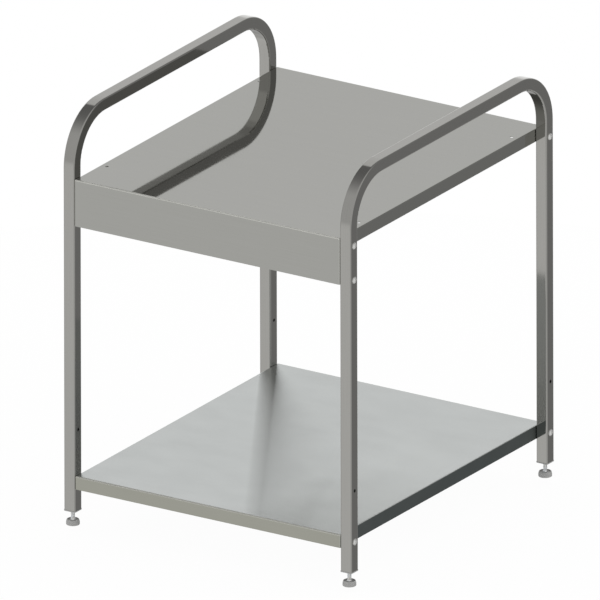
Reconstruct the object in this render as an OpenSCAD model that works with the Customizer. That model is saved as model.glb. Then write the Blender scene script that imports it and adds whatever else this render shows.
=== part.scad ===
// Outdoor table for a gas stove, in stainless steel, all sizes in millimetres.
// Two bent square tubes form the legs and the handle loops at each side. A folded tabletop with a
// deep front apron and a folded lower shelf are bolted between them. Each leg stands on a
// levelling foot that screws into the plug in its open end.
// The origin is on the floor under the middle of the table. The apron faces -Y and +Z is up.

/* [Table] */
// Clear width between the side frames, which is the width of the tabletop and the shelf
clear_w = 600; // [400:10:900]
// Depth from the front faces of the legs to their rear faces
depth = 723; // [500:1:900]
// Height of the tabletop's surface over the floor
table_h = 709; // [600:1:800]
// Height of the shelf's surface over the floor
shelf_h = 104; // [95:1:300]
// Rise of the handle loops over the tabletop's surface
rail_rise = 131; // [120:1:200]

/* [Side frames] */
// Width of the square tube
tube_w = 25; // [24:1:30]
// Wall of the square tube
tube_wall = 1.5; // [1:0.1:2]
// Outer corner radius of the square tube
tube_corner_r = 3; // [2.5:0.1:4]
// Bend radius of the tube at its centre line
bend_r = 100; // [60:5:110]
// Height of the legs' open ends over the floor
leg_clear = 31; // [31:1:40]

/* [Sheet metal] */
// Thickness of the sheets
sheet_t = 1.2; // [1:0.1:2]
// Outer radius of the folds
fold_r = 3; // [2.5:0.1:5]
// Height of the tabletop's side and rear flanges
table_flange = 26; // [22:1:35]
// Height of the front apron
apron_h = 95; // [92:1:130]
// Depth of the apron's end returns behind the front face
return_d = 30; // [22:1:50]
// Height of the shelf's flanges
shelf_flange = 27; // [22:1:35]

/* [Stiffeners] */
// Height of the hat section, its foot flanges included
hat_h = 20; // [10:1:25]
// Width of the hat section's crown
hat_crown = 30; // [15:1:50]
// Width of each foot flange
hat_foot = 15; // [8:1:25]
// Gap between a stiffener's end and the flange that it stops short of
hat_end_gap = 9; // [1:1:30]
// Distance from the middle of each tabletop stiffener to the stove holes beside it
hat_setback = 118; // [60:1:125]

/* [Stove holes] */
// Diameter of the four holes that locate the stove
stove_hole_d = 7; // [4:0.5:10]
// Distance of the holes from the tabletop's side edges
stove_hole_side = 15; // [10:1:60]
// Distance of the front holes from the front face
stove_hole_front = 93; // [40:1:140]
// Distance of the rear holes from the rear face
stove_hole_rear = 86; // [40:1:140]

/* [Bolts] */
// Thread diameter of the bolts
bolt_d = 6; // [5:1:6]
// Diameter of the bolt holes
bolt_hole_d = 6.5; // [6.2:0.1:7]
// Drop of the tabletop bolts below the tabletop's surface
table_bolt_drop = 14; // [11:0.5:15]
// Drop of the lower front bolts below the tabletop's surface
apron_bolt_drop = 84; // [40:1:85]
// Drop of the shelf bolts below the shelf's surface
shelf_bolt_drop = 13; // [11:0.5:15]
// Rise of the spare shelf holes over the shelf bolts
spare_rise = 104; // [40:1:200]
// Diameter of the flange under the bolt head
head_flange_d = 13.6; // [12:0.1:15]
// Thickness of that flange
head_flange_t = 1; // [0.8:0.1:1.5]
// Diameter of the domed head
head_d = 10.5; // [9:0.1:11.5]
// Rise of the dome over its flange
dome_h = 2.3; // [1.8:0.1:3]
// Size across flats of the hex socket
socket_af = 4; // [3:0.5:5]
// Depth of the hex socket
socket_depth = 1.8; // [1:0.1:2]
// Length of thread that shows past the nut
thread_proud = 1.2; // [0.5:0.1:6]
// Outer diameter of the washers
washer_d = 12; // [11:0.5:13]
// Thickness of the washers
washer_t = 1.6; // [1:0.1:2]
// Size across flats of the lock nuts
nut_af = 10; // [9:0.5:11]
// Height of a lock nut's hex
nut_hex_h = 4.6; // [3:0.1:5]
// Height of its round locking collar
nut_collar_h = 1.4; // [1:0.1:2]
// Diameter of the locking collar
nut_collar_d = 9; // [8:0.1:9]

/* [Leg plugs] */
// How far the plug's flange stands proud of the tube
plug_lip = 0.5; // [0:0.1:2]
// Thickness of the plug's flange
plug_flange_t = 2; // [1.5:0.1:2.5]
// How far the grip fins stand proud of the plug's block
fin_depth = 2.2; // [1:0.1:2.5]
// Length of the plug inside the tube
plug_l = 18; // [14:1:30]
// Number of thin grip fins round the plug
fin_count = 4; // [2:1:5]
// Thickness of each fin
fin_t = 1.2; // [0.8:0.1:1.6]
// Size across flats of the nut in the plug
plug_nut_af = 13; // [13:0.1:14]
// Height of the nut in the plug
plug_nut_h = 6.5; // [5:0.1:8]
// Thickness of plastic under that nut
nut_ledge = 2; // [1.5:0.1:4]

/* [Levelling feet] */
// Thread diameter of the foot's stud
stud_d = 8; // [6:1:8]
// Length of the stud
stud_l = 51.5; // [45:0.5:80]
// Height of the stud's lower end over the floor
stud_base = 2.5; // [2:0.1:4]
// Diameter of the stud's collar, which bears on the pad
collar_d = 9.4; // [9:0.1:12]
// Height of the collar's straight band
collar_h = 2.6; // [2:0.1:3]
// Height of the collar's tapered shoulder
shoulder_h = 2; // [1:0.1:2.3]
// Diameter of the pad where it meets the floor
pad_d = 26.4; // [24:0.1:40]
// Diameter of the pad's top rim
pad_top_d = 23.8; // [22.5:0.1:24]
// Height of the pad
pad_h = 10.3; // [9:0.1:10.8]
// Height of the straight band at the pad's foot
pad_band_h = 6; // [3:0.5:7]
// Diameter of the recess in the pad's top
recess_d = 21; // [16:0.5:21]
// Depth of that recess
recess_depth = 2.5; // [2:0.1:3]

/* [Clearances] */
// Radial clearance of the stud in its nut, plug and pad
stud_clear = 0.05; // [0.02:0.01:0.1]
// Radial clearance of the bolts in their nuts and washers
bolt_clear = 0.05; // [0.02:0.01:0.1]
// Clearance of the plug's fins inside the tube
fin_clear = 0.05; // [0.02:0.01:0.1]

/* [Hidden] */

// Side signs: the left and the front are negative, the right and the rear positive
left = -1;
right = 1;
front = -1;
rear = 1;

// Everything round is drawn with this many facets
$fn = 96;
// Overlap of a cutting shape past the faces that it cuts
cut = 1;

// Middle of a leg from the middle of the table, across and along it
leg_x = (clear_w + tube_w) / 2;
leg_y = (depth - tube_w) / 2;
tube_in = tube_w - 2 * tube_wall;
rail_top = table_h + rail_rise;
bend_z = rail_top - tube_w / 2 - bend_r;
bend_y = leg_y - bend_r;

// Places of the front and the rear stove holes along the table
stove_front_y = stove_hole_front - depth / 2;
stove_rear_y = depth / 2 - stove_hole_rear;

// Heights of the bolt axes over the floor
table_bolt_z = table_h - table_bolt_drop;
apron_bolt_z = table_h - apron_bolt_drop;
shelf_bolt_z = shelf_h - shelf_bolt_drop;
spare_z = shelf_bolt_z + spare_rise;

// A bolt's grip runs through the tube, the flange, the washer and the nut
nut_h = nut_hex_h + nut_collar_h;
bolt_l = tube_w + sheet_t + washer_t + nut_h + thread_proud;
bolt_bore_d = bolt_d + 2 * bolt_clear;

// Levelling foot
stud_bore_d = stud_d + 2 * stud_clear;
recess_z = pad_h - recess_depth;
plug_nut_z = leg_clear + nut_ledge;
fin_w = tube_in - 2 * fin_clear;

steel = [0.62, 0.62, 0.60];
bright_steel = [0.78, 0.78, 0.77];
zinc = [0.86, 0.87, 0.88];
grey_plastic = [0.55, 0.55, 0.53];

// Flat shapes

module rounded_square(w, r) {
    square([w, w - 2 * r], center = true);
    square([w - 2 * r, w], center = true);
    for (sx = [-1, 1], sy = [-1, 1])
        translate([sx * (w / 2 - r), sy * (w / 2 - r)])
            circle(r);
}

module tube_section() {
    difference() {
        rounded_square(tube_w, tube_corner_r);
        rounded_square(tube_in, tube_corner_r - tube_wall);
    }
}

// Folded sheet

// A straight fold along Z: a quarter ring whose outer faces point to +X and +Y
module fold(length) {
    rotate_extrude(angle = 90)
        translate([fold_r - sheet_t, 0])
            square([sheet_t, length]);
}

// The rounded corner where three folds meet, pointing to +X, +Y and +Z
module fold_corner() {
    rotate_extrude(angle = 90)
        intersection() {
            difference() {
                circle(fold_r);
                circle(fold_r - sheet_t);
            }
            square(fold_r);
        }
}

// One upright corner of a tray, pointing to +X and +Y, with the rounded corner on top
module tray_corner(w, d, drop) {
    translate([w / 2 - fold_r, d / 2 - fold_r, -fold_r]) {
        fold_corner();
        translate([0, 0, fold_r - drop])
            fold(drop - fold_r);
    }
}

// The fold and the web along one long edge of a tray, at +Y
module tray_edge(length, d, drop) {
    translate([length / 2, d / 2 - fold_r, -fold_r])
        rotate([0, -90, 0])
            fold(length);
    translate([-length / 2, d / 2 - sheet_t, -drop])
        cube([length, sheet_t, drop - fold_r]);
}

// An open tray with its plate's surface at height 0 and its flanges hanging down. The front
// flange hangs to front_drop, and an end return of return_l carries it round each side.
module tray(w, d, drop, front_drop, return_l) {
    flat_w = w - 2 * fold_r;
    flat_d = d - 2 * fold_r;
    translate([-flat_w / 2, -flat_d / 2, -sheet_t])
        cube([flat_w, flat_d, sheet_t]);
    tray_edge(flat_w, d, drop);
    mirror([0, 1, 0])
        tray_edge(flat_w, d, front_drop);
    for (side = [left, right]) {
        rotate(-side * 90)
            tray_edge(flat_d, w, drop);
        mirror([side < 0 ? 1 : 0, 0, 0]) {
            tray_corner(w, d, drop);
            mirror([0, 1, 0])
                tray_corner(w, d, front_drop);
            if (front_drop > drop)
                translate([w / 2 - sheet_t, fold_r - d / 2, -front_drop])
                    cube([sheet_t, return_l - fold_r, front_drop - drop]);
        }
    }
}

// Bolt places: side sign, front or rear sign, and height of the axis

table_bolt_places = [
    for (side = [left, right])
        for (at = [[front, table_bolt_z], [rear, table_bolt_z], [front, apron_bolt_z]])
            [side, at[0], at[1]]
];
shelf_bolt_places = [
    for (side = [left, right], end = [front, rear])
        [side, end, shelf_bolt_z]
];
spare_hole_places = [
    for (side = [left, right], end = [front, rear])
        [side, end, spare_z]
];

// Puts its children at each bolt place, with +Z pointing out of the table from out_x
module at_bolts(places, out_x) {
    for (place = places)
        translate([place[0] * out_x, place[1] * leg_y, place[2]])
            rotate([0, place[0] * 90, 0])
                children();
}

// Cuts the bolt holes through whatever stands between the two faces at in_x and out_x
module bolt_holes(places, in_x, out_x) {
    at_bolts(places, in_x - cut)
        cylinder(h = out_x - in_x + 2 * cut, d = bolt_hole_d);
}

// Side frames

module leg(end) {
    translate([0, end * leg_y, leg_clear])
        linear_extrude(bend_z - leg_clear)
            tube_section();
}

module bend() {
    translate([0, bend_y, bend_z])
        rotate([90, 0, 90])
            rotate_extrude(angle = 90)
                translate([bend_r, 0])
                    tube_section();
}

module side_frame(side) {
    color(steel)
        difference() {
            translate([side * leg_x, 0, 0]) {
                leg(front);
                leg(rear);
                bend();
                mirror([0, 1, 0])
                    bend();
                translate([0, bend_y, bend_z + bend_r])
                    rotate([90, 0, 0])
                        linear_extrude(2 * bend_y)
                            tube_section();
            }
            bolt_holes(
                [for (place = concat(table_bolt_places, shelf_bolt_places, spare_hole_places))
                    if (place[0] == side) place],
                clear_w / 2,
                clear_w / 2 + tube_w
            );
        }
}

// Tabletop and shelf

module stove_holes() {
    for (side = [left, right])
        for (y = [stove_front_y, stove_rear_y])
            translate([side * (clear_w / 2 - stove_hole_side), y, -sheet_t - cut])
                cylinder(h = sheet_t + 2 * cut, d = stove_hole_d);
}

module tabletop() {
    color(steel)
        difference() {
            translate([0, 0, table_h])
                difference() {
                    tray(clear_w, depth, table_flange, apron_h, return_d);
                    stove_holes();
                }
            bolt_holes(table_bolt_places, clear_w / 2 - sheet_t, clear_w / 2);
        }
}

module lower_shelf() {
    color(bright_steel)
        difference() {
            translate([0, 0, shelf_h])
                tray(clear_w, depth, shelf_flange, shelf_flange, 0);
            bolt_holes(shelf_bolt_places, clear_w / 2 - sheet_t, clear_w / 2);
        }
}

// A hat section with its foot flanges welded to the underside of a plate at height 0
module hat_stiffener() {
    length = clear_w - 2 * (sheet_t + hat_end_gap);
    crown = hat_crown / 2;
    edge = crown + hat_foot;
    half = [
        [edge, 0],
        [edge, -sheet_t],
        [crown, -sheet_t],
        [crown, -hat_h]
    ];
    inner = [
        [crown - sheet_t, sheet_t - hat_h],
        [crown - sheet_t, 0]
    ];
    outline = concat(
        half,
        [for (i = [3:-1:0]) [-half[i][0], half[i][1]]],
        [for (i = [1:-1:0]) [-inner[i][0], inner[i][1]]],
        inner
    );
    translate([-length / 2, 0, 0])
        rotate([90, 0, 90])
            linear_extrude(length)
                polygon(outline);
}

module top_stiffener(y) {
    color(steel)
        translate([0, y, table_h - sheet_t])
            hat_stiffener();
}

module shelf_stiffener() {
    color(steel)
        translate([0, 0, shelf_h - sheet_t])
            hat_stiffener();
}

// Bolts, washers and nuts, with +Z pointing out of the table

// The underside of the head is at height 0
module bolt() {
    head_h = head_flange_t + dome_h;
    dome_r = (pow(head_d / 2, 2) + pow(dome_h, 2)) / (2 * dome_h);
    color(zinc)
        difference() {
            union() {
                translate([0, 0, -bolt_l])
                    cylinder(h = bolt_l, d = bolt_d);
                cylinder(h = head_flange_t, d = head_flange_d);
                rotate_extrude()
                    intersection() {
                        translate([0, head_h - dome_r])
                            circle(dome_r);
                        square([head_d / 2, head_h]);
                    }
            }
            translate([0, 0, head_h - socket_depth])
                cylinder(h = socket_depth + cut, d = socket_af / cos(30), $fn = 6);
        }
}

// The outer face is at height 0
module washer() {
    color(zinc)
        translate([0, 0, -washer_t])
            difference() {
                cylinder(h = washer_t, d = washer_d);
                translate([0, 0, -cut])
                    cylinder(h = washer_t + 2 * cut, d = bolt_bore_d);
            }
}

// The outer face is at height 0, and the locking collar is at the inner end
module lock_nut() {
    color(zinc)
        translate([0, 0, -nut_h])
            difference() {
                union() {
                    cylinder(h = nut_h, d = nut_collar_d);
                    translate([0, 0, nut_collar_h])
                        cylinder(h = nut_hex_h, d = nut_af / cos(30), $fn = 6);
                }
                translate([0, 0, -cut])
                    cylinder(h = nut_h + 2 * cut, d = bolt_bore_d);
            }
}

module bolts(places) {
    at_bolts(places, clear_w / 2 + tube_w)
        bolt();
}

module washers(places) {
    at_bolts(places, clear_w / 2 - sheet_t)
        washer();
}

module nuts(places) {
    at_bolts(places, clear_w / 2 - sheet_t - washer_t)
        lock_nut();
}

// Leg plugs and levelling feet

module at_leg(side, end) {
    translate([side * leg_x, end * leg_y, 0])
        children();
}

module plug_nut_shape() {
    cylinder(h = plug_nut_h, d = plug_nut_af / cos(30), $fn = 6);
}

module leg_plug() {
    fin_pitch = (plug_l - fin_t) / fin_count;
    color(grey_plastic)
        difference() {
            union() {
                translate([0, 0, leg_clear - plug_flange_t])
                    linear_extrude(plug_flange_t)
                        rounded_square(tube_w + 2 * plug_lip, tube_corner_r);
                translate([0, 0, leg_clear])
                    linear_extrude(plug_l)
                        rounded_square(fin_w - 2 * fin_depth, tube_corner_r - tube_wall);
                for (i = [1:fin_count])
                    translate([0, 0, leg_clear + i * fin_pitch])
                        linear_extrude(fin_t)
                            rounded_square(fin_w, tube_corner_r - tube_wall);
            }
            translate([0, 0, leg_clear - plug_flange_t - cut])
                cylinder(h = plug_flange_t + plug_l + 2 * cut, d = stud_bore_d);
            translate([0, 0, plug_nut_z])
                plug_nut_shape();
        }
}

module plug_nuts() {
    color(zinc)
        for (side = [left, right], end = [front, rear])
            at_leg(side, end)
                translate([0, 0, plug_nut_z])
                    difference() {
                        plug_nut_shape();
                        translate([0, 0, -cut])
                            cylinder(h = plug_nut_h + 2 * cut, d = stud_bore_d);
                    }
}

// The threaded stud, with a collar that bears on the floor of the pad's recess
module foot_stud() {
    color(zinc) {
        translate([0, 0, stud_base])
            cylinder(h = stud_l, d = stud_d);
        translate([0, 0, recess_z + stud_clear]) {
            cylinder(h = collar_h, d = collar_d);
            translate([0, 0, collar_h])
                cylinder(h = shoulder_h, d1 = collar_d, d2 = stud_d);
        }
    }
}

module foot_pad() {
    color(grey_plastic)
        difference() {
            union() {
                cylinder(h = pad_band_h, d = pad_d);
                translate([0, 0, pad_band_h])
                    cylinder(h = pad_h - pad_band_h, d1 = pad_d, d2 = pad_top_d);
            }
            translate([0, 0, recess_z])
                cylinder(h = recess_depth + cut, d = recess_d);
            translate([0, 0, stud_base - stud_clear])
                cylinder(h = pad_h, d = stud_bore_d);
        }
}

side_frame(left);  // side_frame_left
side_frame(right);  // side_frame_right
tabletop();
top_stiffener(stove_front_y + hat_setback);  // top_stiffener_front
top_stiffener(stove_rear_y - hat_setback);  // top_stiffener_rear
lower_shelf();
shelf_stiffener();
at_leg(left, front) leg_plug();  // leg_plug_front_left
at_leg(right, front) leg_plug();  // leg_plug_front_right
at_leg(left, rear) leg_plug();  // leg_plug_rear_left
at_leg(right, rear) leg_plug();  // leg_plug_rear_right
plug_nuts();
at_leg(left, front) foot_stud();  // foot_stud_front_left
at_leg(right, front) foot_stud();  // foot_stud_front_right
at_leg(left, rear) foot_stud();  // foot_stud_rear_left
at_leg(right, rear) foot_stud();  // foot_stud_rear_right
at_leg(left, front) foot_pad();  // foot_pad_front_left
at_leg(right, front) foot_pad();  // foot_pad_front_right
at_leg(left, rear) foot_pad();  // foot_pad_rear_left
at_leg(right, rear) foot_pad();  // foot_pad_rear_right
bolts(table_bolt_places);  // tabletop_bolts
washers(table_bolt_places);  // tabletop_washers
nuts(table_bolt_places);  // tabletop_nuts
bolts(shelf_bolt_places);  // shelf_bolts
washers(shelf_bolt_places);  // shelf_washers
nuts(shelf_bolt_places);  // shelf_nuts
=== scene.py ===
import math

import bmesh
import bpy
from mathutils import Matrix, Vector


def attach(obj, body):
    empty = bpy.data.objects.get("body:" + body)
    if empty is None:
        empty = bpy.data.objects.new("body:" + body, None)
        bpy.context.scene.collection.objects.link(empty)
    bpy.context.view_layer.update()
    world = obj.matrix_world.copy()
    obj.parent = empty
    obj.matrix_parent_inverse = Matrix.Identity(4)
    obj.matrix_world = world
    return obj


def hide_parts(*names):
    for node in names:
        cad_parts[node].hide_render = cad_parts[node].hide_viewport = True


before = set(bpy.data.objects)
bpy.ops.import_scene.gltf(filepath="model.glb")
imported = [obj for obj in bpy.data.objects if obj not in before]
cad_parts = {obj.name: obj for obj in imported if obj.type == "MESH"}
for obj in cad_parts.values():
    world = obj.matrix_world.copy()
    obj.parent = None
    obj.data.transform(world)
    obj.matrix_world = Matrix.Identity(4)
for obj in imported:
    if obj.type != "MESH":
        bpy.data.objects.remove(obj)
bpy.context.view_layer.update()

# The photograph's camera
# A catalogue picture in parallel projection, in which parallel edges stay parallel. The camera
# stands to the right of the table's front and looks down on it, and its numbers are fitted to the
# edges in the photograph.

VIEW_TURN = math.radians(32.420)
VIEW_TILT = math.radians(20.665)
VIEW_ROLL = 0.0023
# The picture's width in metres, and the share of it by which the frame is shifted down
PICTURE_WIDTH = 1.14552
PICTURE_DROP = 0.0130
DISTANCE = 4.0
# The point aimed at, and how far right of it and above it the picture's middle lies, in metres
AIM = Vector((0.0, 0.0, 0.4205))
AIM_RIGHT = -0.01640
AIM_UP = -0.01188

level = Vector((math.cos(VIEW_TURN), math.sin(VIEW_TURN), 0.0))
back = Vector((
    math.sin(VIEW_TURN) * math.cos(VIEW_TILT),
    -math.cos(VIEW_TURN) * math.cos(VIEW_TILT),
    math.sin(VIEW_TILT),
))
upright = back.cross(level)
picture_right = (level - VIEW_ROLL * upright).normalized()
picture_up = (upright + VIEW_ROLL * level).normalized()

lens_data = bpy.data.cameras.new("catalogue_camera")
lens_data.type = "ORTHO"
lens_data.ortho_scale = PICTURE_WIDTH
lens_data.shift_y = -PICTURE_DROP
lens_data.clip_end = 4.0 * DISTANCE
camera = bpy.data.objects.new("catalogue_camera", lens_data)
rise = AIM_UP + PICTURE_DROP * PICTURE_WIDTH
place = AIM + AIM_RIGHT * picture_right + rise * picture_up + DISTANCE * back
camera.matrix_world = Matrix((
    (picture_right.x, picture_up.x, back.x, place.x),
    (picture_right.y, picture_up.y, back.y, place.y),
    (picture_right.z, picture_up.z, back.z, place.z),
    (0.0, 0.0, 0.0, 1.0),
))
bpy.context.scene.collection.objects.link(camera)
bpy.context.scene.camera = camera
bpy.context.scene.view_settings.view_transform = "Standard"

# Side frames
# Each is one square stainless steel tube, 25 mm wide with a 1.5 mm wall, bent twice at 100 mm into
# two legs and a handle loop. The tube comes belt ground and satin polished along its length.

MM = 0.001
BEND_RADIUS = 100 * MM
# How far the bends' centres lie from the table's middle, and their height over the floor
BEND_Y = 249 * MM
BEND_Z = 727.5 * MM
TUBE_DARK = "#A4A39F"
TUBE_LIGHT = "#ACABA7"
# The levels between which most of a noise lies, for a node that stretches them
NOISE_SPAN = {"From Min": 0.3, "From Max": 0.7}


def linear(code):
    """Turns an sRGB hex colour into the linear colour that a shader takes."""
    shares = [int(code[i:i + 2], 16) / 255 for i in (1, 3, 5)]
    return [s / 12.92 if s <= 0.04045 else ((s + 0.055) / 1.055) ** 2.4 for s in shares] + [1.0]


def put(tree, kind, inputs=None, **settings):
    """Adds one node. Each input is a value, a hex colour, or the source that it is linked to: a
    node, which stands for its first output in use, one output, or a tuple of sources."""
    node = tree.nodes.new(kind)
    for name, value in settings.items():
        setattr(node, name, value)
    for socket, value in (inputs or {}).items():
        sources = value if isinstance(value, tuple) else (value,)
        if isinstance(sources[0], (bpy.types.Node, bpy.types.NodeSocket)):
            for source in sources:
                if isinstance(source, bpy.types.Node):
                    source = next(output for output in source.outputs if output.enabled)
                tree.links.new(source, node.inputs[socket])
        else:
            node.inputs[socket].default_value = linear(value) if isinstance(value, str) else value
    return node


def start_finish(name):
    """Starts a material with an empty tree, and returns both."""
    finish = bpy.data.materials.new(name)
    finish.use_nodes = True
    finish.node_tree.nodes.clear()
    return finish, finish.node_tree


def grain(tree, spot, waves, detail=2.0):
    """The grain of a worked face: noise with so many waves in a metre along X, Y and Z."""
    stretched = put(tree, "ShaderNodeMapping", {"Vector": spot, "Scale": waves})
    return put(tree, "ShaderNodeTexNoise", {"Vector": stretched, "Scale": 1.0, "Detail": detail})


def dress(finish, *nodes):
    """Gives CAD nodes their finish."""
    for name in nodes:
        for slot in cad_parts[name].material_slots:
            slot.material = finish


# Satin polished tube, grade 304. Fine lines run along the tube and round the bends with it, and the
# reflections keep sharp edges. Real lines are 0.1 mm wide, and are drawn 1 mm wide to show at all.
tube_satin, tree = start_finish("stainless_tube_satin_polished")
spot = put(tree, "ShaderNodeTexCoord")
xyz = put(tree, "ShaderNodeSeparateXYZ", {0: spot.outputs["Object"]})
from_middle = put(tree, "ShaderNodeMath", {0: xyz.outputs["Y"]}, operation="ABSOLUTE")
past_y = put(tree, "ShaderNodeMath", {0: from_middle, 1: BEND_Y}, operation="SUBTRACT")
out_y = put(tree, "ShaderNodeMath", {0: past_y, 1: 0.0}, operation="MAXIMUM")
short_y = put(tree, "ShaderNodeMath", {0: past_y, 1: 0.0}, operation="MINIMUM")
past_z = put(tree, "ShaderNodeMath", {0: xyz.outputs["Z"], 1: BEND_Z}, operation="SUBTRACT")
out_z = put(tree, "ShaderNodeMath", {0: past_z, 1: 0.0}, operation="MAXIMUM")
up_leg = put(tree, "ShaderNodeMath", {0: past_z, 1: 0.0}, operation="MINIMUM")
turn = put(tree, "ShaderNodeMath", {0: out_z, 1: out_y}, operation="ARCTAN2")
round_bend = put(
    tree, "ShaderNodeMath", {0: turn, 1: BEND_RADIUS, 2: up_leg}, operation="MULTIPLY_ADD"
)
along = put(tree, "ShaderNodeMath", {0: round_bend, 1: short_y}, operation="SUBTRACT")
arm = put(tree, "ShaderNodeCombineXYZ", {"Y": out_y, "Z": out_z})
radius = put(tree, "ShaderNodeVectorMath", {0: arm}, operation="LENGTH")
unrolled = put(
    tree, "ShaderNodeCombineXYZ", {"X": xyz.outputs["X"], "Y": radius, "Z": along}
)
lines = grain(tree, unrolled, (1000.0, 1000.0, 9.0))
cloud = grain(tree, unrolled, (30.0, 30.0, 12.0), 3.0)
line_gloss = put(
    tree, "ShaderNodeMapRange", {"Value": lines, **NOISE_SPAN, "To Min": 0.045, "To Max": 0.075}
)
cloud_gloss = put(
    tree, "ShaderNodeMapRange", {"Value": cloud, **NOISE_SPAN, "To Min": 0.0, "To Max": 0.03}
)
gloss = put(tree, "ShaderNodeMath", {0: line_gloss, 1: cloud_gloss}, operation="ADD")
tone = put(tree, "ShaderNodeMix", {0: lines, 6: TUBE_DARK, 7: TUBE_LIGHT}, data_type="RGBA")
grooves = put(tree, "ShaderNodeBump", {"Height": lines, "Strength": 0.03, "Distance": 0.0002})
steel = put(
    tree, "ShaderNodeBsdfPrincipled",
    {"Base Color": tone, "Metallic": 1.0, "Roughness": gloss, "Normal": grooves},
)
put(tree, "ShaderNodeOutputMaterial", {"Surface": steel})
dress(tube_satin, "side_frame_left", "side_frame_right")

# Tabletop
# One sheet of 1.2 mm stainless steel with four punched holes for the stove, bright rolled on top and
# dull below, where it is painted paler as painted light. A press brake folds it down into the deep
# apron, its returns and the flanges.

SHEET_DARK = "#A5A5A0"
SHEET_LIGHT = "#ABABA7"
# Painted light: the underside is painted paler than the top of the same sheet
SHEET_UNDER = "#D6D6D2"
# Painted highlight: the front and rear folds are painted brighter than the sheet
FOLD_BRIGHT = "#E2E2DC"
# How much rougher the folds and the underside are than the top
DULLER = 0.5
# How much an upright corner counts as a fold, for the painted highlight and the roughness, next to a
# level one
CORNER_SHARE = 0.35
# How slanting a face is where a fold's painted highlight and roughness start to show, and where they
# show in full
FOLD_START = 0.08
FOLD_FULL = 0.27


def find_folds(tree, normal):
    """Masks the painted fold highlight and the rougher folds: 1 on the front and rear folds of a
    sheet, up to a half on its upright corners, else 0.
    """
    facing = put(tree, "ShaderNodeVectorMath", {0: normal}, operation="ABSOLUTE")
    facing = put(tree, "ShaderNodeSeparateXYZ", {0: facing})
    slant = put(
        tree, "ShaderNodeMath", {0: facing.outputs["X"], 1: CORNER_SHARE, 2: facing.outputs["Z"]},
        operation="MULTIPLY_ADD",
    )
    slant = put(tree, "ShaderNodeMath", {0: slant, 1: facing.outputs["Y"]}, operation="MULTIPLY")
    return put(
        tree, "ShaderNodeMapRange", {"Value": slant, "From Min": FOLD_START, "From Max": FOLD_FULL}
    )


# Bright rolled sheet, grade 304. Its top mirrors the handle loops almost sharply, with faint rolling
# lines from side to side, drawn 1.4 mm apart. Its front and rear folds are rougher and are painted
# bright as a painted highlight, and its underside is painted paler as painted light.
sheet_bright, tree = start_finish("stainless_sheet_bright_rolled")
spot = put(tree, "ShaderNodeTexCoord")
rolling = grain(tree, spot.outputs["Object"], (7.0, 700.0, 700.0))
cloud = grain(tree, spot.outputs["Object"], (9.0, 14.0, 14.0), 3.0)
facing = put(tree, "ShaderNodeSeparateXYZ", {0: spot.outputs["Normal"]})
under = put(
    tree, "ShaderNodeMapRange",
    {
        "Value": facing.outputs["Z"], "From Min": -0.9, "From Max": -0.6,
        "To Min": 1.0, "To Max": 0.0,
    },
)
folds = find_folds(tree, spot.outputs["Normal"])
line_gloss = put(
    tree, "ShaderNodeMapRange", {"Value": rolling, **NOISE_SPAN, "To Min": 0.022, "To Max": 0.04}
)
cloud_gloss = put(
    tree, "ShaderNodeMapRange", {"Value": cloud, **NOISE_SPAN, "To Min": 0.0, "To Max": 0.02}
)
gloss = put(tree, "ShaderNodeMath", {0: line_gloss, 1: cloud_gloss}, operation="ADD")
dull = put(tree, "ShaderNodeMath", {0: folds, 1: under}, operation="MAXIMUM")
gloss = put(tree, "ShaderNodeMath", {0: dull, 1: DULLER, 2: gloss}, operation="MULTIPLY_ADD")
tone = put(tree, "ShaderNodeMix", {0: rolling, 6: SHEET_DARK, 7: SHEET_LIGHT}, data_type="RGBA")
# Painted light on the underside
tone = put(tree, "ShaderNodeMix", {0: under, 6: tone, 7: SHEET_UNDER}, data_type="RGBA")
# Painted highlight on the front and rear folds
tone = put(tree, "ShaderNodeMix", {0: folds, 6: tone, 7: FOLD_BRIGHT}, data_type="RGBA")
ripple = put(tree, "ShaderNodeBump", {"Height": rolling, "Strength": 0.02, "Distance": 0.0002})
steel = put(
    tree, "ShaderNodeBsdfPrincipled",
    {"Base Color": tone, "Metallic": 1.0, "Roughness": gloss, "Normal": ripple},
)
put(tree, "ShaderNodeOutputMaterial", {"Surface": steel})
dress(sheet_bright, "tabletop")

# Lower shelf
# A shallow tray folded from 1.2 mm stainless sheet, open underneath, with a flange on each side.
# Its top is brushed from side to side after folding, and its flanges keep the duller mill grey, with
# painted shade on the side flanges and a painted highlight on the front and rear folds.

BRUSHED_DARK = "#D4D7D6"
BRUSHED_LIGHT = "#DCDFDE"
FLANGE_DARK = "#A4A49A"
FLANGE_LIGHT = "#AEAEA4"
# The flanges at the sides are painted darker and cooler than those in front and behind, as painted
# shade
SIDE_DARK = "#6D7372"
SIDE_LIGHT = "#777D7C"
# Painted highlight along the shelf's front and rear folds
SHELF_FOLD = "#D6D6CE"
# How much rougher the folds are than the top
FOLD_DULLER = 0.12
# How squarely a face has to look up or sideways to count as the top or as a side flange
SQUARE_SPAN = {"From Min": 0.6, "From Max": 0.8}

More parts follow.
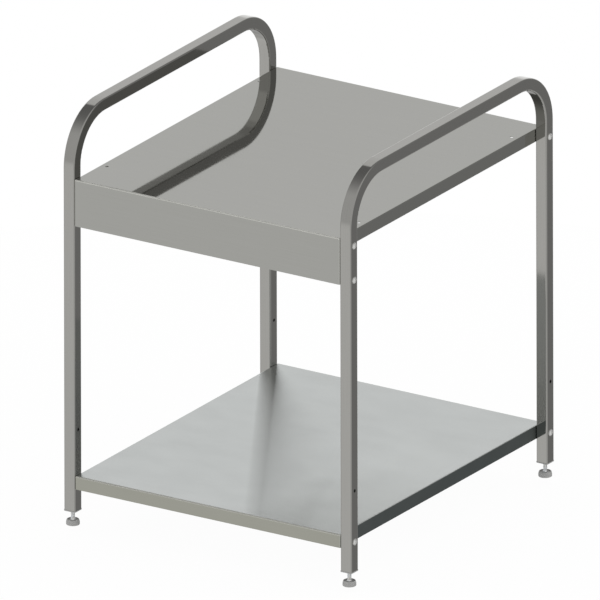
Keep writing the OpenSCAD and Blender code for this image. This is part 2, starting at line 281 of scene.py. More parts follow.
# Brushed sheet, grade 304. The brush lines smear each reflection across them, so the rear leg
# leaves a dark streak with one crisp side. Real lines are 0.1 mm wide, and are drawn 1 mm wide.
sheet_brushed, tree = start_finish("stainless_sheet_brushed")
spot = put(tree, "ShaderNodeTexCoord")
facing = put(tree, "ShaderNodeVectorMath", {0: spot.outputs["Normal"]}, operation="ABSOLUTE")
facing = put(tree, "ShaderNodeSeparateXYZ", {0: facing})
across = put(tree, "ShaderNodeCombineXYZ", {"Y": 1.0, "Z": facing.outputs["Y"]})
brushing = grain(tree, spot.outputs["Object"], (5.0, 1000.0, 1000.0))
cloud = grain(tree, spot.outputs["Object"], (9.0, 16.0, 16.0), 3.0)
top = put(tree, "ShaderNodeMapRange", {"Value": facing.outputs["Z"], **SQUARE_SPAN})
sideways = put(tree, "ShaderNodeMapRange", {"Value": facing.outputs["X"], **SQUARE_SPAN})
folds = find_folds(tree, spot.outputs["Normal"])
flange = put(tree, "ShaderNodeMix", {0: cloud, 6: FLANGE_DARK, 7: FLANGE_LIGHT}, data_type="RGBA")
side = put(tree, "ShaderNodeMix", {0: cloud, 6: SIDE_DARK, 7: SIDE_LIGHT}, data_type="RGBA")
face = put(
    tree, "ShaderNodeMix", {0: brushing, 6: BRUSHED_DARK, 7: BRUSHED_LIGHT}, data_type="RGBA"
)
# Painted shade on the side flanges
tone = put(tree, "ShaderNodeMix", {0: sideways, 6: flange, 7: side}, data_type="RGBA")
tone = put(tree, "ShaderNodeMix", {0: top, 6: tone, 7: face}, data_type="RGBA")
# Painted highlight on the front and rear folds
tone = put(tree, "ShaderNodeMix", {0: folds, 6: tone, 7: SHELF_FOLD}, data_type="RGBA")
line_gloss = put(
    tree, "ShaderNodeMapRange", {"Value": brushing, **NOISE_SPAN, "To Min": 0.195, "To Max": 0.21}
)
cloud_gloss = put(
    tree, "ShaderNodeMapRange", {"Value": cloud, **NOISE_SPAN, "To Min": -0.008, "To Max": 0.008}
)
gloss = put(tree, "ShaderNodeMath", {0: line_gloss, 1: cloud_gloss}, operation="ADD")
gloss = put(tree, "ShaderNodeMath", {0: folds, 1: FOLD_DULLER, 2: gloss}, operation="MULTIPLY_ADD")
grooves = put(tree, "ShaderNodeBump", {"Height": brushing, "Strength": 0.02, "Distance": 0.0002})
steel = put(
    tree, "ShaderNodeBsdfAnisotropic",
    {"Color": tone, "Roughness": gloss, "Anisotropy": -0.85, "Tangent": across, "Normal": grooves},
    distribution="BECKMANN",
)
put(tree, "ShaderNodeOutputMaterial", {"Surface": steel})
dress(sheet_brushed, "lower_shelf")

# Stiffeners and their spot welds
# Two hat sections under the tabletop and one under the shelf, folded from the same sheet, keep it
# from drumming. Each is spot welded along both feet, and each weld leaves a small dimpled mark.

HAT_WIDTH = 60 * MM
FOOT_WIDTH = 15 * MM
# Heights of the lower faces of their feet
TOP_FOOT_Z = 706.6 * MM
SHELF_FOOT_Z = 101.6 * MM
# Where the middle of each stiffener lies from front to rear, and how high its feet are
HATS = [(-150.5 * MM, TOP_FOOT_Z), (157.5 * MM, TOP_FOOT_Z), (0.0, SHELF_FOOT_Z)]
WELD_COUNT = 10
WELD_SPACING = 60 * MM
WELD_SIDES = 12
WELD_RADIUS = 2.6 * MM
WELD_HEIGHT = 0.15 * MM
# The share of a mark's radius that its dimple takes, and the share of its height left in the middle
DIMPLE_SHARE = 0.8
DIMPLE_FLOOR = 0.3
MILL_DARK = "#96968F"
MILL_LIGHT = "#AAAAA4"
TINT_STRAW = "#8C7F66"
TINT_BLUE = "#77787F"


def start_maker(name, sizes):
    """Starts a Geometry Nodes tree for a shape and named sizes, and returns it with its inputs."""
    maker = bpy.data.node_groups.new(name, "GeometryNodeTree")
    maker.interface.new_socket("Shape", in_out="INPUT", socket_type="NodeSocketGeometry")
    for size, kind in sizes.items():
        maker.interface.new_socket(size, in_out="INPUT", socket_type="NodeSocket" + kind)
    maker.interface.new_socket("Shape", in_out="OUTPUT", socket_type="NodeSocketGeometry")
    return maker, put(maker, "NodeGroupInput").outputs


def end_maker(maker, shape, finish):
    """Ends a tree: its instances become real, and it gets its material."""
    real = put(maker, "GeometryNodeRealizeInstances", {0: shape})
    dressed = put(maker, "GeometryNodeSetMaterial", {"Geometry": real, "Material": finish})
    put(maker, "NodeGroupOutput", {0: dressed})


def make(name, maker, sizes, shape):
    """Runs a tree on a mesh, and returns an object that holds the result as a plain mesh."""
    piece = bpy.data.objects.new(name, shape)
    bpy.context.scene.collection.objects.link(piece)
    step = piece.modifiers.new(name, "NODES")
    step.node_group = maker
    for socket in maker.interface.items_tree:
        if socket.in_out == "INPUT" and socket.name in sizes:
            step[socket.identifier] = sizes[socket.name]
    shaped = piece.evaluated_get(bpy.context.evaluated_depsgraph_get())
    plain = bpy.data.meshes.new_from_object(shaped)
    plain.name = name
    piece.modifiers.remove(step)
    piece.data = plain
    return piece


def mark_places(name, places):
    """A mesh of loose points, one at each place."""
    points = bpy.data.meshes.new(name)
    points.from_pydata(places, [], [])
    return points


# Mill finish sheet, grade 304, cold rolled and pickled. Soft grey clouds and no direction of
# shine, because nobody polishes a face that stays hidden.
sheet_mill, tree = start_finish("stainless_sheet_mill_finish")
spot = put(tree, "ShaderNodeTexCoord")
cloud = grain(tree, spot.outputs["Object"], (40.0, 60.0, 60.0), 4.0)
speck = grain(tree, spot.outputs["Object"], (900.0, 900.0, 900.0))
tone = put(tree, "ShaderNodeMix", {0: cloud, 6: MILL_DARK, 7: MILL_LIGHT}, data_type="RGBA")
gloss = put(
    tree, "ShaderNodeMapRange", {"Value": cloud, **NOISE_SPAN, "To Min": 0.36, "To Max": 0.46}
)
orange_peel = put(tree, "ShaderNodeBump", {"Height": speck, "Strength": 0.1, "Distance": 0.0002})
steel = put(
    tree, "ShaderNodeBsdfPrincipled",
    {"Base Color": tone, "Metallic": 1.0, "Roughness": gloss, "Normal": orange_peel},
)
put(tree, "ShaderNodeOutputMaterial", {"Surface": steel})
dress(sheet_mill, "top_stiffener_front", "top_stiffener_rear", "shelf_stiffener")

# Heat tinted weld marks. The oxide left by the spot welder is straw brown with a bluish cast.
weld_tint, tree = start_finish("stainless_spot_weld_heat_tint")
spot = put(tree, "ShaderNodeTexCoord")
cast = grain(tree, spot.outputs["Object"], (300.0, 300.0, 300.0), 3.0)
tone = put(tree, "ShaderNodeMix", {0: cast, 6: TINT_STRAW, 7: TINT_BLUE}, data_type="RGBA")
gloss = put(
    tree, "ShaderNodeMapRange", {"Value": cast, **NOISE_SPAN, "To Min": 0.3, "To Max": 0.5}
)
steel = put(
    tree, "ShaderNodeBsdfPrincipled", {"Base Color": tone, "Metallic": 1.0, "Roughness": gloss}
)
put(tree, "ShaderNodeOutputMaterial", {"Surface": steel})

weld_maker, given = start_maker(
    "spot_welds",
    {
        "Count": "Int", "Spacing": "Float", "Radius": "Float", "Height": "Float",
        "Tint": "Material",
    },
)
step = put(weld_maker, "ShaderNodeCombineXYZ", {"X": given["Spacing"]})
row = put(weld_maker, "GeometryNodeMeshLine", {"Count": given["Count"], "Offset": step})
rows = put(
    weld_maker, "GeometryNodeInstanceOnPoints", {"Points": given["Shape"], "Instance": row}
)
spots = put(weld_maker, "GeometryNodeRealizeInstances", {0: rows})
dimple_radius = put(
    weld_maker, "ShaderNodeMath", {0: given["Radius"], 1: DIMPLE_SHARE}, operation="MULTIPLY"
)
mark = put(
    weld_maker, "GeometryNodeMeshCone",
    {
        "Vertices": WELD_SIDES, "Side Segments": 1, "Fill Segments": 2,
        "Radius Top": dimple_radius, "Radius Bottom": given["Radius"], "Depth": given["Height"],
    },
    fill_type="TRIANGLE_FAN",
)
at = put(weld_maker, "GeometryNodeInputPosition")
xyz = put(weld_maker, "ShaderNodeSeparateXYZ", {0: at})
out = put(weld_maker, "ShaderNodeCombineXYZ", {"X": xyz.outputs["X"], "Y": xyz.outputs["Y"]})
reach = put(weld_maker, "ShaderNodeVectorMath", {0: out}, operation="LENGTH")
share = put(
    weld_maker, "ShaderNodeMapRange",
    {"Value": reach, "From Max": dimple_radius, "To Min": DIMPLE_FLOOR},
)
sunk = put(weld_maker, "ShaderNodeMath", {0: xyz.outputs["Z"], 1: share}, operation="MULTIPLY")
dimple = put(
    weld_maker, "ShaderNodeCombineXYZ",
    {"X": xyz.outputs["X"], "Y": xyz.outputs["Y"], "Z": sunk},
)
dimpled = put(weld_maker, "GeometryNodeSetPosition", {"Geometry": mark, "Position": dimple})
hanging = put(
    weld_maker, "GeometryNodeTransform", {"Geometry": dimpled, "Rotation": (math.pi, 0.0, 0.0)}
)
welds = put(weld_maker, "GeometryNodeInstanceOnPoints", {"Points": spots, "Instance": hanging})
end_maker(weld_maker, welds, given["Tint"])

first_x = -WELD_SPACING * (WELD_COUNT - 1) / 2
foot_y = (HAT_WIDTH - FOOT_WIDTH) / 2
row_starts = [(first_x, y + side * foot_y, z) for y, z in HATS for side in (-1, 1)]
spot_welds = make(
    "spot_weld_marks", weld_maker,
    {
        "Count": WELD_COUNT, "Spacing": WELD_SPACING, "Radius": WELD_RADIUS,
        "Height": WELD_HEIGHT, "Tint": weld_tint,
    },
    mark_places("weld_row_starts", row_starts),
)
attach(spot_welds, "table")

# Bolts, washers and lock nuts
# Ten M6 by 35 mm flanged button head bolts with hex sockets, of stainless steel, cold headed with
# rolled threads. Each goes through leg and flange into a washer and a nut with a nylon ring.

# The outer faces of the legs, which the heads sit on
SEAT_X = 325 * MM
BOLT_Y = 349 * MM
BOLT_HEIGHTS = {"tabletop": 695 * MM, "apron": 625 * MM, "shelf": 91 * MM}
BOLT_LENGTH = 35 * MM
BOLT_RADIUS = 3 * MM
BOLT_PITCH = 1 * MM
BOLT_GROOVE = 0.6 * MM
TABLE_BOLTS = [
    (side * SEAT_X, y, BOLT_HEIGHTS[row])
    for side in (-1, 1)
    for y, row in ((-BOLT_Y, "tabletop"), (BOLT_Y, "tabletop"), (-BOLT_Y, "apron"))
]
SHELF_BOLTS = [
    (side * SEAT_X, y, BOLT_HEIGHTS["shelf"]) for side in (-1, 1) for y in (-BOLT_Y, BOLT_Y)
]
HEAD_SIDES = 48
FLANGE_RADIUS = 6.8 * MM
FLANGE_THICKNESS = 1 * MM
FLANGE_BEVEL = 0.15 * MM
FLANGE_ROUNDING = 0.25 * MM
# How far inside the corner the rounding passes, along each side
ROUNDING_MIDDLE = 0.08 * MM
DOME_RADIUS = 5.25 * MM
DOME_RISE = 2.3 * MM
# The step between the dome and its flange, and the dome's rings from there up to the socket
DOME_STEP = 0.1 * MM
DOME_SHARES = (1.0, 0.93, 0.84, 0.73, 0.62, 0.53)
SOCKET_HALF = 2 * MM
SOCKET_DEPTH = 1.8 * MM
SOCKET_BEVEL = 0.15 * MM
SOCKET_POINT = 0.4 * MM
THREAD_SIDES = 24
# Rows of points in each turn of the thread
THREAD_ROWS = 8.0
# The shares of half a pitch at which a crest ends and the flat root of the groove starts
CREST_END = 0.06
ROOT_START = 0.44
NUT_END = 33.8 * MM
RING_RADIUS = 3.75 * MM
RING_WIRE = 0.55 * MM
RING_SETBACK = 0.2 * MM
RING_SIDES = 20
WIRE_SIDES = 8
BOLT_DARK = "#E6E6E3"
BOLT_LIGHT = "#F4F4F2"
RING_DARK = "#D9D8D0"
RING_LIGHT = "#E7E6DF"


def add_ring(shape, sides, radius, height):
    """Adds a ring of points round Z. The radius is a number, or a function of the angle."""
    ring = []
    for side in range(sides):
        angle = math.tau * side / sides
        reach = radius(angle) if callable(radius) else radius
        point = (reach * math.cos(angle), reach * math.sin(angle), height)
        ring.append(shape.verts.new(point))
    return ring


def turn_up(name, profile, sides, finish=None):
    """Joins rings to a closed shape, from the underside outwards, up and back in."""
    shape = bmesh.new()
    rings = [add_ring(shape, sides, radius, height) for radius, height in profile]
    for low, high in zip(rings, rings[1:]):
        for side in range(sides):
            after = (side + 1) % sides
            face = shape.faces.new((low[side], low[after], high[after], high[side]))
            face.smooth = True
    shape.faces.new(reversed(rings[0]))
    shape.faces.new(rings[-1])
    mesh = bpy.data.meshes.new(name)
    shape.to_mesh(mesh)
    shape.free()
    mesh.set_sharp_from_angle(angle=math.radians(35))
    if finish:
        mesh.materials.append(finish)
    return mesh


def hex_socket(angle):
    """How far the socket's flat sides stand from its middle at this angle."""
    return SOCKET_HALF / math.cos(angle % (math.pi / 3) - math.pi / 6)


ball = (DOME_RADIUS ** 2 + DOME_RISE ** 2) / (2 * DOME_RISE)
top_of_head = FLANGE_THICKNESS + DOME_RISE


def dome_height(radius):
    """Height of the domed head over its seat."""
    return top_of_head - ball + math.sqrt(ball ** 2 - radius ** 2)


dome = [DOME_RADIUS * share for share in DOME_SHARES]
socket_mouth = SOCKET_HALF / math.cos(math.pi / 6) + SOCKET_BEVEL
head_profile = [
    (BOLT_RADIUS, 0.0),
    (FLANGE_RADIUS - FLANGE_BEVEL, 0.0),
    (FLANGE_RADIUS, FLANGE_BEVEL),
    (FLANGE_RADIUS, FLANGE_THICKNESS - FLANGE_ROUNDING),
    (FLANGE_RADIUS - ROUNDING_MIDDLE, FLANGE_THICKNESS - ROUNDING_MIDDLE),
    (FLANGE_RADIUS - FLANGE_ROUNDING, FLANGE_THICKNESS),
    (DOME_RADIUS + DOME_STEP, FLANGE_THICKNESS),
    *[(radius, dome_height(radius)) for radius in dome],
    (socket_mouth, dome_height(socket_mouth)),
    (hex_socket, dome_height(socket_mouth) - SOCKET_BEVEL),
    (hex_socket, top_of_head - SOCKET_DEPTH),
    (SOCKET_POINT, top_of_head - SOCKET_DEPTH - SOCKET_POINT),
]
bolt_head = turn_up("bolt_head", head_profile, HEAD_SIDES)

# A rolled thread: one groove winds round a rod, with flat crests and roots, and both ends taper in.
# The rod stands round Z with its middle at the origin.
thread_maker, given = start_maker(
    "rolled_thread",
    {"Crest radius": "Float", "Pitch": "Float", "Groove depth": "Float", "Length": "Float"},
)
turns = put(
    thread_maker, "ShaderNodeMath", {0: given["Length"], 1: given["Pitch"]}, operation="DIVIDE"
)
rows = put(thread_maker, "ShaderNodeMath", {0: turns, 1: THREAD_ROWS}, operation="MULTIPLY")
rod = put(
    thread_maker, "GeometryNodeMeshCylinder",
    {
        "Vertices": THREAD_SIDES, "Side Segments": rows, "Radius": given["Crest radius"],
        "Depth": given["Length"],
    },
)
at = put(thread_maker, "GeometryNodeInputPosition")
xyz = put(thread_maker, "ShaderNodeSeparateXYZ", {0: at})
angle = put(
    thread_maker, "ShaderNodeMath", {0: xyz.outputs["Y"], 1: xyz.outputs["X"]}, operation="ARCTAN2"
)
part_turn = put(thread_maker, "ShaderNodeMath", {0: angle, 1: math.tau}, operation="DIVIDE")
climb = put(
    thread_maker, "ShaderNodeMath", {0: xyz.outputs["Z"], 1: given["Pitch"]}, operation="DIVIDE"
)
phase = put(thread_maker, "ShaderNodeMath", {0: climb, 1: part_turn}, operation="SUBTRACT")
wave = put(thread_maker, "ShaderNodeMath", {0: phase, 1: 0.5}, operation="PINGPONG")
groove = put(
    thread_maker, "ShaderNodeMapRange",
    {"Value": wave, "From Min": CREST_END, "From Max": ROOT_START},
)
from_middle = put(thread_maker, "ShaderNodeMath", {0: xyz.outputs["Z"]}, operation="ABSOLUTE")
half = put(thread_maker, "ShaderNodeMath", {0: given["Length"], 1: 0.5}, operation="MULTIPLY")
to_end = put(thread_maker, "ShaderNodeMath", {0: half, 1: from_middle}, operation="SUBTRACT")
taper = put(
    thread_maker, "ShaderNodeMapRange",
    {"Value": to_end, "From Max": given["Groove depth"], "To Min": 1.0, "To Max": 0.0},
)
sunk = put(thread_maker, "ShaderNodeMath", {0: groove, 1: taper}, operation="MAXIMUM")
share = put(
    thread_maker, "ShaderNodeMath", {0: given["Groove depth"], 1: given["Crest radius"]},
    operation="DIVIDE",
)
inward = put(thread_maker, "ShaderNodeMath", {0: sunk, 1: share}, operation="MULTIPLY")
outward = put(
    thread_maker, "ShaderNodeCombineXYZ", {"X": xyz.outputs["X"], "Y": xyz.outputs["Y"]}
)
pull_share = put(thread_maker, "ShaderNodeMath", {0: 0.0, 1: inward}, operation="SUBTRACT")
pull = put(
    thread_maker, "ShaderNodeVectorMath", {0: outward, "Scale": pull_share}, operation="SCALE"
)
threaded = put(thread_maker, "GeometryNodeSetPosition", {"Geometry": rod, "Offset": pull})
put(thread_maker, "NodeGroupOutput", {0: threaded})


def set_in_legs(maker, places, shape):
    """Puts a shape at each place, with its Z turned to point out of the table."""
    points = put(maker, "GeometryNodeObjectInfo", {"Object": places}, transform_space="ORIGINAL")
    at = put(maker, "GeometryNodeInputPosition")
    xyz = put(maker, "ShaderNodeSeparateXYZ", {0: at})
    side = put(maker, "ShaderNodeMath", {0: xyz.outputs["X"]}, operation="SIGN")
    quarter = put(maker, "ShaderNodeMath", {0: side, 1: math.pi / 2}, operation="MULTIPLY")
    lean = put(maker, "ShaderNodeCombineXYZ", {"Y": quarter})
    aim = put(maker, "FunctionNodeEulerToRotation", {0: lean})
    return put(
        maker, "GeometryNodeInstanceOnPoints",
        {"Points": points.outputs["Geometry"], "Instance": shape, "Rotation": aim},
    )


bolt_maker, given = start_maker(
    "bolts_through_legs",
    {
        "Places": "Object", "Length": "Float", "Crest radius": "Float", "Pitch": "Float",
        "Groove depth": "Float", "Seed": "Int", "Steel": "Material",
    },
)
thread = put(
    bolt_maker, "GeometryNodeGroup",
    {name: given[name] for name in ("Crest radius", "Pitch", "Groove depth", "Length")},
    node_tree=thread_maker,
)
half = put(bolt_maker, "ShaderNodeMath", {0: given["Length"], 1: -0.5}, operation="MULTIPLY")
inwards = put(bolt_maker, "ShaderNodeCombineXYZ", {"Z": half})
shank = put(bolt_maker, "GeometryNodeTransform", {"Geometry": thread, "Translation": inwards})
whole = put(bolt_maker, "GeometryNodeJoinGeometry", {0: (given["Shape"], shank)})
placed = set_in_legs(bolt_maker, given["Places"], whole)
as_tightened = put(
    bolt_maker, "FunctionNodeRandomValue", {2: 0.0, 3: math.tau, "Seed": given["Seed"]}
)
about_axis = put(bolt_maker, "ShaderNodeCombineXYZ", {"Z": as_tightened.outputs[1]})
twist = put(bolt_maker, "FunctionNodeEulerToRotation", {0: about_axis})
tightened = put(
    bolt_maker, "GeometryNodeRotateInstances",
    {"Instances": placed, "Rotation": twist, "Local Space": True},
)
end_maker(bolt_maker, tightened, given["Steel"])

# Cold headed stainless bolts, grade A2, tumbled bright. Soft gloss with small tumbling marks that
# catch the light, and a bright spot on each dome.
bolt_steel, tree = start_finish("stainless_bolt_cold_headed")
spot = put(tree, "ShaderNodeTexCoord")
tumble = grain(tree, spot.outputs["Object"], (700.0, 700.0, 700.0), 3.0)
tone = put(tree, "ShaderNodeMix", {0: tumble, 6: BOLT_DARK, 7: BOLT_LIGHT}, data_type="RGBA")
gloss = put(
    tree, "ShaderNodeMapRange", {"Value": tumble, **NOISE_SPAN, "To Min": 0.3, "To Max": 0.4}
)
marks = put(tree, "ShaderNodeBump", {"Height": tumble, "Strength": 0.12, "Distance": 0.0002})
steel = put(
    tree, "ShaderNodeBsdfPrincipled",
    {"Base Color": tone, "Metallic": 1.0, "Roughness": gloss, "Normal": marks},
)
put(tree, "ShaderNodeOutputMaterial", {"Surface": steel})
dress(bolt_steel, "tabletop_washers", "tabletop_nuts", "shelf_washers", "shelf_nuts")

bolt_sizes = {
    "Length": BOLT_LENGTH, "Crest radius": BOLT_RADIUS, "Pitch": BOLT_PITCH,
    "Groove depth": BOLT_GROOVE, "Steel": bolt_steel,
}
place_marks = {}
for sheet, places, seed in (("tabletop", TABLE_BOLTS, 3), ("shelf", SHELF_BOLTS, 8)):
    marks = bpy.data.objects.new(sheet + "_bolt_places", mark_places(sheet + "_places", places))
    place_marks[sheet] = marks
    bolts = make(
        sheet + "_flanged_bolts", bolt_maker, {**bolt_sizes, "Places": marks, "Seed": seed},
        bolt_head,
    )
    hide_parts(sheet + "_bolts")
    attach(bolts, "table")

ring_maker, given = start_maker(
    "nylon_rings",
    {
        "Places": "Object", "Depth": "Float", "Ring radius": "Float", "Wire radius": "Float",
        "Nylon": "Material",
    },
)
loop = put(
    ring_maker, "GeometryNodeCurvePrimitiveCircle",
    {"Resolution": RING_SIDES, "Radius": given["Ring radius"]},
)
wire = put(
    ring_maker, "GeometryNodeCurvePrimitiveCircle",
    {"Resolution": WIRE_SIDES, "Radius": given["Wire radius"]},
)
band = put(ring_maker, "GeometryNodeCurveToMesh", {"Curve": loop, "Profile Curve": wire})
depth = put(ring_maker, "ShaderNodeMath", {0: 0.0, 1: given["Depth"]}, operation="SUBTRACT")
inwards = put(ring_maker, "ShaderNodeCombineXYZ", {"Z": depth})
seated = put(ring_maker, "GeometryNodeTransform", {"Geometry": band, "Translation": inwards})
end_maker(ring_maker, set_in_legs(ring_maker, given["Places"], seated), given["Nylon"])

# Natural nylon of the nuts' locking rings: milky white and slightly shiny.
nylon_white, tree = start_finish("nylon_ring_natural_white")
spot = put(tree, "ShaderNodeTexCoord")
cloud = grain(tree, spot.outputs["Object"], (500.0, 500.0, 500.0))
tone = put(tree, "ShaderNodeMix", {0: cloud, 6: RING_DARK, 7: RING_LIGHT}, data_type="RGBA")
gloss = put(
    tree, "ShaderNodeMapRange", {"Value": cloud, **NOISE_SPAN, "To Min": 0.35, "To Max": 0.45}
)
nylon = put(tree, "ShaderNodeBsdfPrincipled", {"Base Color": tone, "Roughness": gloss})
put(tree, "ShaderNodeOutputMaterial", {"Surface": nylon})

for sheet, marks in place_marks.items():
    rings = make(
        sheet + "_nut_nylon_rings", ring_maker,
        {
            "Places": marks, "Depth": NUT_END - RING_SETBACK, "Ring radius": RING_RADIUS,
            "Wire radius": RING_WIRE, "Nylon": nylon_white,
        },
        bpy.data.meshes.new("empty"),
    )
    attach(rings, "table")

# Leg plugs and feet
# A grey nylon plug, moulded round an M8 nut, is pressed into each leg. A zinc plated levelling
# stud screws into it, and turns in a round moulded pad that stands on the ground.

LEG_X = 312.5 * MM
LEG_Y = 349 * MM
CORNERS = {
    end + "_" + side: (x, y)
    for end, y in (("front", -LEG_Y), ("rear", LEG_Y))
    for side, x in (("left", -LEG_X), ("right", LEG_X))
}
STUD_RADIUS = 4 * MM
STUD_PITCH = 1.25 * MM
STUD_GROOVE = 0.7 * MM
STUD_SIDES = 32
STUD_BOTTOM = 2.5 * MM
THREAD_BOTTOM = 12.2 * MM
STUD_TOP = 54 * MM
COLLAR_RADIUS = 4.7 * MM
COLLAR_BOTTOM = 7.85 * MM
COLLAR_TOP = 10.45 * MM
PAD_SIDES = 64
PAD_RADIUS = 13.2 * MM
PAD_BAND = 6 * MM
PAD_HEIGHT = 10.3 * MM
RIM_RADIUS = 11.9 * MM
RECESS_RADIUS = 10.4 * MM
RECESS_FLOOR = 7.8 * MM
BORE_RADIUS = 4.05 * MM
BORE_FLOOR = 2.45 * MM
SOLE_HOLLOW = 5.6 * MM
SCUFF_HEIGHT = 2.5 * MM
PLASTIC_DARK = "#9A9A99"
PLASTIC_LIGHT = "#A6A6A4"
PLASTIC_SCUFFED = "#C4C4C0"
ZINC_STRAW = "#FAF8F3"
ZINC_BLUE = "#F3F7FC"

# Moulded polyamide, mid grey. The mould is spark eroded, so the plastic has a fine even grain that
# breaks up its shine, drawn 0.8 mm wide to show. The lower rims are scuffed paler.
nylon_grey, tree = start_finish("polyamide_moulded_grey")
spot = put(tree, "ShaderNodeTexCoord")
xyz = put(tree, "ShaderNodeSeparateXYZ", {0: spot.outputs["Object"]})
grit = grain(tree, spot.outputs["Object"], (1200.0, 1200.0, 1200.0))
cloud = grain(tree, spot.outputs["Object"], (120.0, 120.0, 120.0), 3.0)
near_ground = put(
    tree, "ShaderNodeMapRange",
    {"Value": xyz.outputs["Z"], "From Max": SCUFF_HEIGHT, "To Min": 0.5, "To Max": 0.0},
)
scuffs = put(tree, "ShaderNodeMath", {0: near_ground, 1: cloud}, operation="MULTIPLY")
tone = put(tree, "ShaderNodeMix", {0: cloud, 6: PLASTIC_DARK, 7: PLASTIC_LIGHT}, data_type="RGBA")
tone = put(tree, "ShaderNodeMix", {0: scuffs, 6: tone, 7: PLASTIC_SCUFFED}, data_type="RGBA")
gloss = put(
    tree, "ShaderNodeMapRange", {"Value": grit, **NOISE_SPAN, "To Min": 0.42, "To Max": 0.55}
)
skin = put(tree, "ShaderNodeBump", {"Height": grit, "Strength": 0.25, "Distance": 0.0001})
nylon = put(
    tree, "ShaderNodeBsdfPrincipled", {"Base Color": tone, "Roughness": gloss, "Normal": skin}
)
put(tree, "ShaderNodeOutputMaterial", {"Surface": nylon})
dress(nylon_grey, *["leg_plug_" + corner for corner in CORNERS])

# Bright zinc plating on steel. Nearly white with a faint blue and straw cast that shifts in broad
# patches, and a soft gloss.
zinc_bright, tree = start_finish("zinc_plated_bright")
spot = put(tree, "ShaderNodeTexCoord")
patches = grain(tree, spot.outputs["Object"], (260.0, 260.0, 160.0))
pits = grain(tree, spot.outputs["Object"], (1500.0, 1500.0, 1500.0))
cast = put(tree, "ShaderNodeMapRange", {"Value": patches, **NOISE_SPAN})
tone = put(tree, "ShaderNodeMix", {0: cast, 6: ZINC_STRAW, 7: ZINC_BLUE}, data_type="RGBA")
gloss = put(
    tree, "ShaderNodeMapRange", {"Value": pits, **NOISE_SPAN, "To Min": 0.38, "To Max": 0.48}
)
skin = put(tree, "ShaderNodeBump", {"Height": pits, "Strength": 0.08, "Distance": 0.0001})
zinc = put(
    tree, "ShaderNodeBsdfPrincipled",
    {"Base Color": tone, "Metallic": 1.0, "Roughness": gloss, "Normal": skin},
)
put(tree, "ShaderNodeOutputMaterial", {"Surface": zinc})
dress(zinc_bright, "plug_nuts")

stud_maker, given = start_maker(
    "levelling_stud",
    {
        "Place": "Vector", "Thread bottom": "Float", "Length": "Float", "Crest radius": "Float",
        "Pitch": "Float", "Groove depth": "Float", "Plating": "Material",
    },
)
thread = put(
    stud_maker, "GeometryNodeGroup",
    {name: given[name] for name in ("Crest radius", "Pitch", "Groove depth", "Length")},
    node_tree=thread_maker,
)
middle = put(
    stud_maker, "ShaderNodeMath", {0: given["Length"], 1: 0.5, 2: given["Thread bottom"]},
    operation="MULTIPLY_ADD",
)
up = put(stud_maker, "ShaderNodeCombineXYZ", {"Z": middle})
raised = put(stud_maker, "GeometryNodeTransform", {"Geometry": thread, "Translation": up})
whole = put(stud_maker, "GeometryNodeJoinGeometry", {0: (given["Shape"], raised)})
moved = put(
    stud_maker, "GeometryNodeTransform", {"Geometry": whole, "Translation": given["Place"]}
)
end_maker(stud_maker, moved, given["Plating"])

# Below its thread the stud has a pin that turns in the pad, and a collar that bears on it.
pivot_profile = [
    (STUD_RADIUS - 0.3 * MM, STUD_BOTTOM),
    (STUD_RADIUS, STUD_BOTTOM + 0.3 * MM),
    (STUD_RADIUS, COLLAR_BOTTOM),
    (COLLAR_RADIUS - 0.2 * MM, COLLAR_BOTTOM),
    (COLLAR_RADIUS, COLLAR_BOTTOM + 0.2 * MM),
    (COLLAR_RADIUS, COLLAR_TOP - 0.2 * MM),
    (COLLAR_RADIUS - 0.08 * MM, COLLAR_TOP),
    (STUD_RADIUS + 0.02 * MM, THREAD_BOTTOM),
    (STUD_RADIUS - 0.05 * MM, THREAD_BOTTOM + 0.25 * MM),
    (STUD_RADIUS - 0.6 * MM, THREAD_BOTTOM + 0.25 * MM),
]
# The pad's outline runs from its hollow sole over the straight band, the sloping side and the rim
# into the recess and down its bore, with rounded edges as the mould leaves them.
pad_profile = [
    (SOLE_HOLLOW - 0.6 * MM, 0.5 * MM),
    (SOLE_HOLLOW, 0.0),
    (PAD_RADIUS - 1.0 * MM, 0.0),
    (PAD_RADIUS - 0.45 * MM, 0.13 * MM),
    (PAD_RADIUS - 0.1 * MM, 0.5 * MM),
    (PAD_RADIUS, 1.0 * MM),
    (PAD_RADIUS, PAD_BAND - 0.4 * MM),
    (PAD_RADIUS - 0.08 * MM, PAD_BAND),
    (PAD_RADIUS - 0.25 * MM, PAD_BAND + 0.4 * MM),
    (RIM_RADIUS + 0.15 * MM, PAD_HEIGHT - 0.6 * MM),
    (RIM_RADIUS - 0.05 * MM, PAD_HEIGHT - 0.2 * MM),
    (RIM_RADIUS - 0.4 * MM, PAD_HEIGHT),
    (RECESS_RADIUS + 0.4 * MM, PAD_HEIGHT),
    (RECESS_RADIUS + 0.15 * MM, PAD_HEIGHT - 0.15 * MM),
    (RECESS_RADIUS + 0.05 * MM, PAD_HEIGHT - 0.5 * MM),
    (RECESS_RADIUS, RECESS_FLOOR + 0.4 * MM),
    (RECESS_RADIUS - 0.15 * MM, RECESS_FLOOR + 0.1 * MM),
    (RECESS_RADIUS - 0.5 * MM, RECESS_FLOOR),
    (BORE_RADIUS + 0.25 * MM, RECESS_FLOOR),
    (BORE_RADIUS, RECESS_FLOOR - 0.25 * MM),
    (BORE_RADIUS, BORE_FLOOR),
]
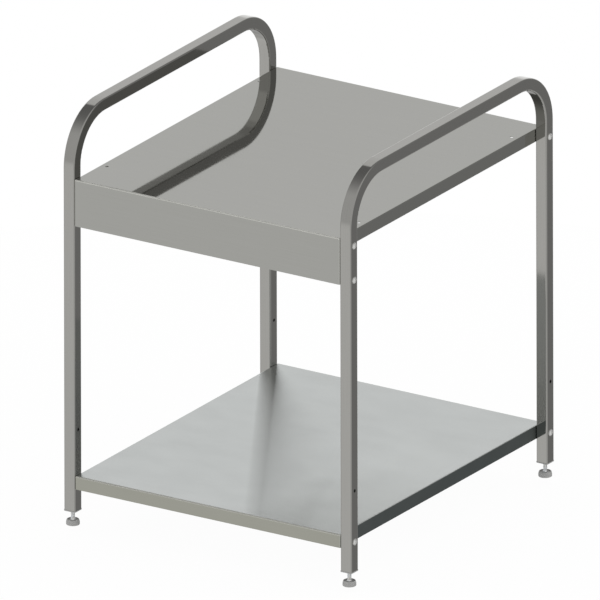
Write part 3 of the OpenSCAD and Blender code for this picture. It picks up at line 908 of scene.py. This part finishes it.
for corner, (x, y) in CORNERS.items():
    stud = make(
        "levelling_stud_" + corner, stud_maker,
        {
            "Place": (x, y, 0.0), "Thread bottom": THREAD_BOTTOM,
            "Length": STUD_TOP - THREAD_BOTTOM, "Crest radius": STUD_RADIUS,
            "Pitch": STUD_PITCH, "Groove depth": STUD_GROOVE, "Plating": zinc_bright,
        },
        turn_up("stud_pivot", pivot_profile, STUD_SIDES),
    )
    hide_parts("foot_stud_" + corner)
    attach(stud, "stud_" + corner)
    pad_mesh = turn_up("moulded_pad_" + corner, pad_profile, PAD_SIDES, nylon_grey)
    pad_mesh.transform(Matrix.Translation((x, y, 0.0)))
    pad = bpy.data.objects.new("moulded_pad_" + corner, pad_mesh)
    bpy.context.scene.collection.objects.link(pad)
    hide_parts("foot_pad_" + corner)
    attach(pad, "pad_" + corner)

# Floor and light
# A white paper floor, as low as the feet reach when they are screwed right out, in a soft white
# studio. Pale and dark cards hang beyond the picture and only show in the steel, whose left faces
# come out light and right faces dark.

FLOOR_RADIUS = 1.6
FOOT_TRAVEL_DOWN = 12 * MM
# How much of the paper the camera sees as glowing white
FLOOR_GLOW = 0.96
PAPER = "#F4F4F4"
WHITE = "#FFFFFF"
WALL_LEVEL = 0.66
# Each card: the side it hangs towards, how near to that side, as the cosine of the angle, its soft
# edge starts and ends, and how bright it is
STUDIO_CARDS = [
    # A pale one low in front
    ((-0.2, -0.6, -0.77), 0.68, 0.80, 0.86),
    # A dark one overhead, which fades out slowly
    ((-0.3, 0.35, 0.88), 0.45, 1.02, 0.20),
    # Two dark ones behind, on the right
    ((0.545, 0.839, 0.0), 0.75, 0.92, 0.29),
    ((0.5, 0.79, 0.35), 0.85, 0.98, 0.32),
    # A pale one behind on the left, a grey one under it, and a white strip in front of both
    ((-0.5, 0.79, 0.2), 0.755, 0.80, 0.83),
    ((-0.5, 0.79, -0.6), 0.85, 0.95, 0.48),
    ((-0.5, 0.86, -0.06), 0.955, 0.975, 1.1),
]

mesh = bpy.data.meshes.new("studio_floor")
shape = bmesh.new()
bmesh.ops.create_circle(shape, cap_ends=True, segments=96, radius=FLOOR_RADIUS)
shape.to_mesh(mesh)
shape.free()
mesh.transform(Matrix.Translation((0.0, 0.0, -FOOT_TRAVEL_DOWN)))
floor = bpy.data.objects.new("studio_floor", mesh)
bpy.context.scene.collection.objects.link(floor)
# The steel mirrors the studio's cards in place of the floor, whose edge would show in it
floor.visible_glossy = False

# White seamless paper. The camera sees it glow almost as white as the studio, which leaves only a
# faint shadow under the table.
paper, tree = start_finish("studio_floor_white_paper")
matt = put(tree, "ShaderNodeBsdfDiffuse", {"Color": PAPER})
glow = put(tree, "ShaderNodeEmission", {"Color": WHITE, "Strength": 1.0})
path = put(tree, "ShaderNodeLightPath")
lit = put(
    tree, "ShaderNodeMath", {0: path.outputs["Is Camera Ray"], 1: FLOOR_GLOW}, operation="MULTIPLY"
)
mixed = put(tree, "ShaderNodeMixShader", {0: lit, 1: matt, 2: glow})
put(tree, "ShaderNodeOutputMaterial", {"Surface": mixed})
mesh.materials.append(paper)

# Plain white lights the table and shows behind it, and only the steel's reflections see the grey
# walls and the cards.
studio = bpy.data.worlds.new("soft_studio")
studio.use_nodes = True
bpy.context.scene.world = studio
tree = studio.node_tree
tree.nodes.clear()
looking = put(tree, "ShaderNodeTexCoord")
path = put(tree, "ShaderNodeLightPath")
shown = WALL_LEVEL
for towards, edge_start, edge_end, card_level in STUDIO_CARDS:
    nearness = put(
        tree, "ShaderNodeVectorMath",
        {0: looking.outputs["Generated"], 1: Vector(towards).normalized()},
        operation="DOT_PRODUCT",
    )
    share = put(
        tree, "ShaderNodeMapRange",
        {"Value": nearness, "From Min": edge_start, "From Max": edge_end},
        interpolation_type="SMOOTHSTEP",
    )
    shown = put(tree, "ShaderNodeMix", {0: share, 2: shown, 3: card_level})
seen = put(tree, "ShaderNodeMix", {0: path.outputs["Is Glossy Ray"], 2: 1.0, 3: shown})
backdrop = put(tree, "ShaderNodeBackground", {"Color": WHITE, "Strength": seen})
put(tree, "ShaderNodeOutputWorld", {"Surface": backdrop})
